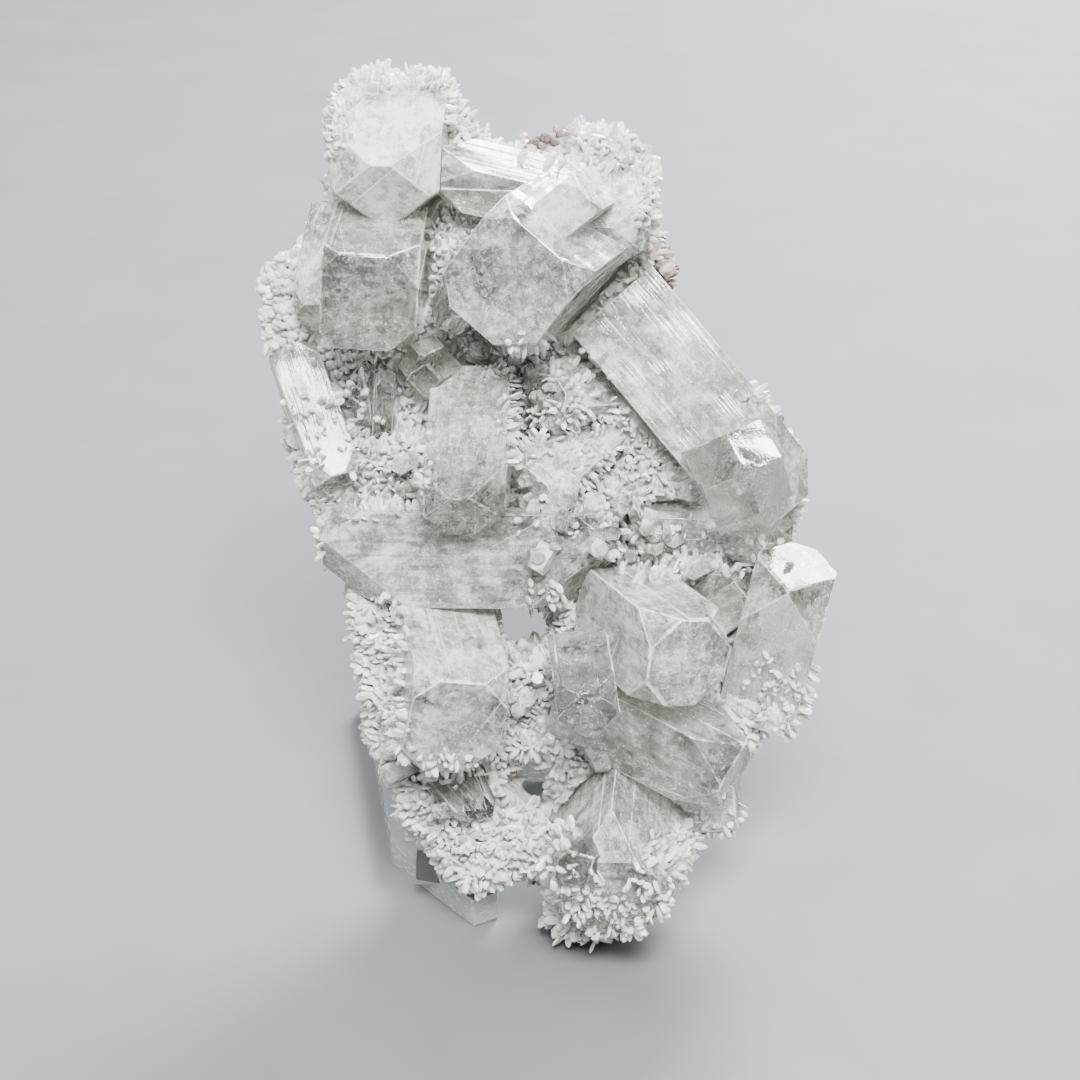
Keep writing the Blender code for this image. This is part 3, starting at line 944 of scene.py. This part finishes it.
def make_crust(material, crystal_tree):
    """The knobbly plate, with the attributes that the grains grow by."""
    crust = fine_skin("crust", "druse_crust")
    mesh = crust.data
    places = [vertex.co.copy() for vertex in mesh.vertices]
    normals = [vertex.normal.copy() for vertex in mesh.vertices]
    marks = {"stain": [], "blades": [], "knobs": [], "back": []}
    moved = []
    for place, normal in zip(places, normals):
        lumps = sum(high * noise.noise(place / size) for size, high in CRUST_LUMPS)
        moved.extend(place + normal * (lumps - CRUST_SINK))
        free = crystal_tree.find_nearest(place, POCKET_REACH)[0] is None
        behind = normal.z < BACK_FACING and place.z < BACK_DEPTH
        knobby = max(inside_patch(place, *patch) for patch in KNOBS)
        open_share = 1.0 - inside_patch(place, *LOWER_HOLE)
        marks["stain"].append(stain_at(place, normal))
        marks["blades"].append(free * (not behind) * (1.0 - knobby) * open_share)
        marks["knobs"].append(float(free and not behind and knobby > LEAST_KNOBBY))
        marks["back"].append(free * behind * open_share)
    mesh.vertices.foreach_set("co", moved)
    mesh.update()
    for name, values in marks.items():
        mesh.attributes.new(name, "FLOAT", "POINT").data.foreach_set("value", values)
    mesh.materials.clear()
    mesh.materials.append(material)
    for face in mesh.polygons:
        face.use_smooth = True
    return crust


def covered_crystals():
    """A fine skin over all the crystals, marked where druse creeps over them."""
    skin = fine_skin("skin", *CRYSTALS)
    cover, stain = [], []
    for vertex in skin.data.vertices:
        place, normal = vertex.co, vertex.normal
        share = max(thick * inside_patch(place, *patch) for *patch, thick in COVERED)
        ragged = 0.5 + 1.1 * noise.noise(place * 0.45)
        front = max(0.0, min(1.0, normal.z * 2 + 1))
        cover.append(max(0.0, min(1.0, share * 1.5 * ragged)) * front)
        stain.append(stain_at(place, normal) * SKIN_STAIN)
    for name, values in (("cover", cover), ("stain", stain)):
        skin.data.attributes.new(name, "FLOAT", "POINT").data.foreach_set("value", values)
    return skin


def grain_template(name, rings, sides, flat):
    """One grain, a unit long, that stands on its own foot. rings gives height and breadth."""
    shape = bmesh.new()
    height = shape.verts.layers.float.new("height")
    loops = []
    for rise, breadth in rings:
        loop = []
        for step in range(sides):
            angle = math.tau * (step + 0.5 * (flat < 1)) / sides
            vertex = shape.verts.new((math.cos(angle) * breadth,
                                      math.sin(angle) * breadth * flat, rise))
            vertex[height] = max(0.0, rise)
            loop.append(vertex)
        loops.append(loop)
    peak = shape.verts.new((0, 0, 1.0))
    peak[height] = 1.0
    shape.faces.new(reversed(loops[0]))
    for lower, upper in zip(loops, loops[1:]):
        for step in range(sides):
            after = (step + 1) % sides
            shape.faces.new((lower[step], lower[after], upper[after], upper[step]))
    for step in range(sides):
        shape.faces.new((loops[-1][step], loops[-1][(step + 1) % sides], peak))
    return added(name, finished(shape, name))


def druse_tree(templates, material):
    """Geometry Nodes: scatters grains over a surface by a density attribute."""
    tree = bpy.data.node_groups.new("druse growth", "GeometryNodeTree")
    sockets = {}
    for name in ("Geometry", "Where", *GRAIN_SIZES):
        kind = {"Geometry": "Geometry", "Seed": "Int"}.get(name, "Float")
        socket = tree.interface.new_socket(
            name=name, in_out="INPUT", socket_type="NodeSocket" + kind)
        sockets[name] = socket.identifier
    tree.interface.new_socket(name="Geometry", in_out="OUTPUT", socket_type="NodeSocketGeometry")
    graph = Graph(tree)
    start = graph.node("NodeGroupInput")
    given = {socket.name: socket for socket in start.outputs}
    points = graph.node("GeometryNodeDistributePointsOnFaces", distribute_method="POISSON")
    graph.feed(points.inputs["Mesh"], given["Geometry"])
    graph.feed(points.inputs["Distance Min"], given["Spacing"])
    points.inputs["Density Max"].default_value = MOST_DENSE
    graph.feed(points.inputs["Density Factor"], given["Where"])
    graph.feed(points.inputs["Seed"], given["Seed"])

    def chance(kind, low, high, offset):
        made = graph.node("FunctionNodeRandomValue", data_type=kind)
        used = [s for s in made.inputs if s.enabled and s.name in ("Min", "Max")]
        for socket, value in zip(used, (low, high)):
            graph.feed(socket, value)
        graph.feed(made.inputs["Seed"], graph.math("ADD", given["Seed"], float(offset)))
        return [s for s in made.outputs if s.enabled][0]

    here = graph.node("GeometryNodeInputPosition").outputs[0]
    drift = graph.node("ShaderNodeTexNoise", {"Vector": here, "Scale": 0.42, "Detail": 1.0})
    shared = graph.vector("SUBTRACT", drift.outputs[1], (0.5,) * 3)
    clump = graph.vector("MULTIPLY_ADD", shared, (CLUMPING,) * 3,
                         chance("FLOAT_VECTOR", (-STRAY,) * 3, (STRAY,) * 3, 1))
    tilt = graph.node("ShaderNodeVectorMath", {0: clump, "Scale": given["Lean"]},
                      operation="SCALE").outputs[0]
    aim = graph.vector("ADD", points.outputs["Normal"], tilt)
    turned = graph.node("FunctionNodeAlignRotationToVector", {"Vector": aim}, axis="Z")
    spin = graph.node("FunctionNodeAxisAngleToRotation")
    spin.inputs["Axis"].default_value = (0, 0, 1)
    graph.feed(spin.inputs["Angle"], chance("FLOAT", 0.0, math.tau, 2))
    both = graph.node("FunctionNodeRotateRotation", {0: turned.outputs[0], 1: spin.outputs[0]},
                      rotation_space="LOCAL")
    length = graph.math(
        "MULTIPLY", chance("FLOAT", given["Least length"], given["Most length"], 3),
        graph.map(drift.outputs[0], 0.3, 0.7, 0.8, 1.2))
    stout = graph.math("MULTIPLY", given["Breadth"], chance("FLOAT", 0.75, 1.25, 4))
    size = graph.node("ShaderNodeCombineXYZ", {0: stout, 1: stout, 2: length}).outputs[0]

    shapes = graph.node("GeometryNodeJoinGeometry")
    for template in templates:
        info = graph.node("GeometryNodeObjectInfo", {"Object": template, "As Instance": True})
        tree.links.new(info.outputs["Geometry"], shapes.inputs[0])
    grains = graph.node("GeometryNodeInstanceOnPoints")
    graph.feed(grains.inputs["Points"], points.outputs["Points"])
    graph.feed(grains.inputs["Instance"], shapes.outputs[0])
    grains.inputs["Pick Instance"].default_value = True
    graph.feed(grains.inputs["Instance Index"], chance("INT", 0, len(templates) - 1, 5))
    graph.feed(grains.inputs["Rotation"], both.outputs[0])
    graph.feed(grains.inputs["Scale"], size)
    toned = graph.node("GeometryNodeStoreNamedAttribute", data_type="FLOAT", domain="INSTANCE")
    graph.feed(toned.inputs["Geometry"], grains.outputs[0])
    toned.inputs["Name"].default_value = "tone"
    value = [s for s in toned.inputs if s.name == "Value" and s.enabled][0]
    graph.feed(value, chance("FLOAT", 0.0, 1.0, 6))
    real = graph.node("GeometryNodeRealizeInstances", {0: toned.outputs[0]})
    dressed = graph.node("GeometryNodeSetMaterial", {0: real.outputs[0], "Material": material})
    end = graph.node("NodeGroupOutput")
    tree.links.new(dressed.outputs[0], end.inputs[0])
    return tree, sockets


def grow_druse(name, ground, tree, sockets, where, sizes):
    """Grains over the ground mesh, realised as one plain mesh."""
    bed = added(name, ground.data.copy())
    step = bed.modifiers.new("Druse", "NODES")
    step.node_group = tree
    step[sockets["Where"] + "_use_attribute"] = True
    step[sockets["Where"] + "_attribute_name"] = where
    for key, value in zip(GRAIN_SIZES, sizes):
        step[sockets[key]] = value
    return applied(bed)


# ---- Stand

# Faces that bend less than this are one, and the sharper edges are rounded.
SAME_FACE = math.radians(0.5)
EDGE_ROUND = 0.25
EDGE_SEGMENTS = 2
EDGE_ANGLE = math.radians(30)
FACES_ALONG = 0.98


def make_stand(clear, frosted):
    """The stand with rounded edges: clear on its sheets' wide faces, frosted where sawn."""
    stand = added("stand", copy_of("acrylic_stand"))
    shape = bmesh.new()
    shape.from_mesh(stand.data)
    bmesh.ops.dissolve_limit(shape, angle_limit=SAME_FACE, verts=shape.verts[:],
                             edges=shape.edges[:])
    bmesh.ops.recalc_face_normals(shape, faces=shape.faces[:])
    shape.to_mesh(stand.data)
    shape.free()
    rounded = stand.modifiers.new("Edges", "BEVEL")
    rounded.width = EDGE_ROUND
    rounded.segments = EDGE_SEGMENTS
    rounded.limit_method = "ANGLE"
    rounded.angle_limit = EDGE_ANGLE
    applied(stand)
    upright = PLATE.to_3x3().inverted() @ UP
    upright.normalize()
    stand.data.materials.clear()
    stand.data.materials.append(clear)
    stand.data.materials.append(frosted)
    for face in stand.data.polygons:
        flat = max(abs(face.normal.dot(upright)), abs(face.normal.z))
        face.material_index = 0 if flat > FACES_ALONG else 1
    return stand


# ---- The cluster

glass = crystal_glass("clear crystal", True)
cloudy_glass = crystal_glass("cloudy crystal", False)
crystal_tree = search_tree(*CRYSTALS)
for node, solid in make_crystals(glass, cloudy_glass):
    placed(solid, node + "_grown", "apophyllite", node)

placed(inclusions(veil_material()), "crystal_inclusions", "apophyllite")
ground = search_tree("druse_crust", *CRYSTALS)
placed(little_crystals(ground, crystal_tree, cloudy_glass), "small_crystals", "apophyllite")

grain_look = druse_material()
crust = make_crust(crust_material(), crystal_tree)
blades = [
    grain_template("blade", [(-0.3, 0.75), (0.35, 1.0), (0.8, 0.85)], 6, 0.48),
    grain_template("leaf", [(-0.3, 0.6), (0.45, 1.0), (0.85, 0.6)], 6, 0.4),
    grain_template("stub", [(-0.3, 0.85), (0.5, 1.0), (0.88, 0.75)], 5, 0.75),
]
knobs = [
    grain_template("knob", [(-0.3, 0.8), (0.15, 1.15), (0.55, 1.05), (0.85, 0.6)], 7, 0.9),
    grain_template("bud", [(-0.3, 0.7), (0.2, 1.0), (0.6, 0.85), (0.88, 0.45)], 6, 0.8),
]
blade_growth = druse_tree(blades, grain_look)
knob_growth = druse_tree(knobs, grain_look)
skin = covered_crystals()

# Each coat's ground, grains and density, then its spacing, least and most length, breadth, lean
# and seed.
COATS = [
    ("druse_blades", crust, blade_growth, "blades", (0.74, 1.1, 2.3, 0.62, 0.5, 3)),
    ("druse_knobs", crust, knob_growth, "knobs", (0.9, 1.0, 2.0, 0.72, 0.45, 5)),
    ("druse_back", crust, knob_growth, "back", (1.5, 0.9, 1.9, 0.8, 0.8, 8)),
    ("druse_on_crystals", skin, blade_growth, "cover", (0.7, 0.8, 2.0, 0.56, 0.55, 13)),
]
coats = [grow_druse(name, bed, *growth, where, sizes)
         for name, bed, growth, where, sizes in COATS]
bpy.data.objects.remove(skin)
for (name, *_), coat in zip(COATS, coats):
    placed(coat, name, "white_druse")
placed(crust, "crust_plate", "white_druse", "druse_crust")
for template in blades + knobs:
    bpy.data.objects.remove(template)
placed(make_stand(acrylic_material(), frosted_material()), "stand_sheet", "clear_acrylic",
       "acrylic_stand")


# ---- Studio

FLOOR_SIZE = 1.0
FLOOR_CELLS = 40
FLOOR_DROP = 0.0002
FLOOR_FLAT_TO = 0.45
FLOOR_CURVE = 1.6

# Place, what it is aimed at, size, watts and colour.
LAMPS = [
    ("front_top", (0.05, -0.5, 0.8), (0, 0, 0.06), (0.4, 0.3), 8.5, (1.0, 0.995, 0.985)),
    ("right_back", (0.27, 0.6, 0.55), (0, 0, 0.07), (0.3, 0.4), 8.5, (0.94, 0.97, 1.0)),
]
SKY = ((0.0, (0.15, 0.152, 0.155)), (0.3, (0.17, 0.172, 0.175)), (0.6, (0.7, 0.715, 0.73)),
       (0.8, (1.0, 1.0, 1.0)))
SKY_STRENGTH = 0.85
BOUNCES = 9
SURFACE_BOUNCES = 3


def studio():
    """A plain pale floor that curves up behind."""
    shape = bmesh.new()
    bmesh.ops.create_grid(
        shape, x_segments=FLOOR_CELLS, y_segments=FLOOR_CELLS, size=FLOOR_SIZE)
    for vertex in shape.verts:
        rise = max(0.0, vertex.co.y - FLOOR_FLAT_TO)
        vertex.co.z = -FLOOR_DROP + FLOOR_CURVE * rise * rise
    floor = added("floor", finished(shape, "floor"))
    for face in floor.data.polygons:
        face.use_smooth = True
    floor.data.materials.append(floor_material())
    floor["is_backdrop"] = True


def lamp(name, place, target, size, watts, colour):
    data = bpy.data.lights.new(name, "AREA")
    data.shape = "RECTANGLE"
    data.size, data.size_y = size
    data.energy = watts
    data.color = colour
    thing = bpy.data.objects.new(name, data)
    bpy.context.scene.collection.objects.link(thing)
    thing.location = place
    thing.rotation_euler = (Vector(target) - Vector(place)).to_track_quat("-Z", "Y").to_euler()


studio()
for settings in LAMPS:
    lamp(*settings)
world = bpy.data.worlds.new("studio")
world.use_nodes = True
sky = Graph(world.node_tree)
towards = sky.node("ShaderNodeTexCoord").outputs["Generated"]
height = sky.node("ShaderNodeSeparateXYZ", {0: towards}).outputs[2]
background = world.node_tree.nodes["Background"]
sky.feed(background.inputs["Color"], sky.ramp(height, *SKY))
background.inputs["Strength"].default_value = SKY_STRENGTH
world.cycles.sampling_method = "NONE"
bpy.context.scene.world = world

light = bpy.context.scene.cycles
light.max_bounces = BOUNCES
light.transmission_bounces = BOUNCES
light.diffuse_bounces = SURFACE_BOUNCES
light.glossy_bounces = SURFACE_BOUNCES


# ---- Camera

# It looks straight at the plate. EYE is in the plate's axes.
FOCAL_PIXELS = 2200.0
IMAGE = 1080.0
SENSOR = 36.0
EYE = Vector((-0.75, 60.75, 330.0))
lens = bpy.data.cameras.new("camera")
lens.sensor_width = SENSOR
lens.lens = FOCAL_PIXELS / IMAGE * lens.sensor_width
lens.clip_start = 0.01
lens.clip_end = 10.0
camera = bpy.data.objects.new("camera", lens)
bpy.context.scene.collection.objects.link(camera)
camera.location = PLATE @ EYE
camera.rotation_euler = (math.pi / 2 - LEAN, 0, 0)
bpy.context.scene.camera = camera

bpy.context.scene.view_settings.view_transform = "AgX"
bpy.context.scene.view_settings.look = "AgX - High Contrast"

bpy.context.view_layer.update()
({"cad": [list(corner) for corner in CAD_BOX],
           "visual": [list(corner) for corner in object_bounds()]})
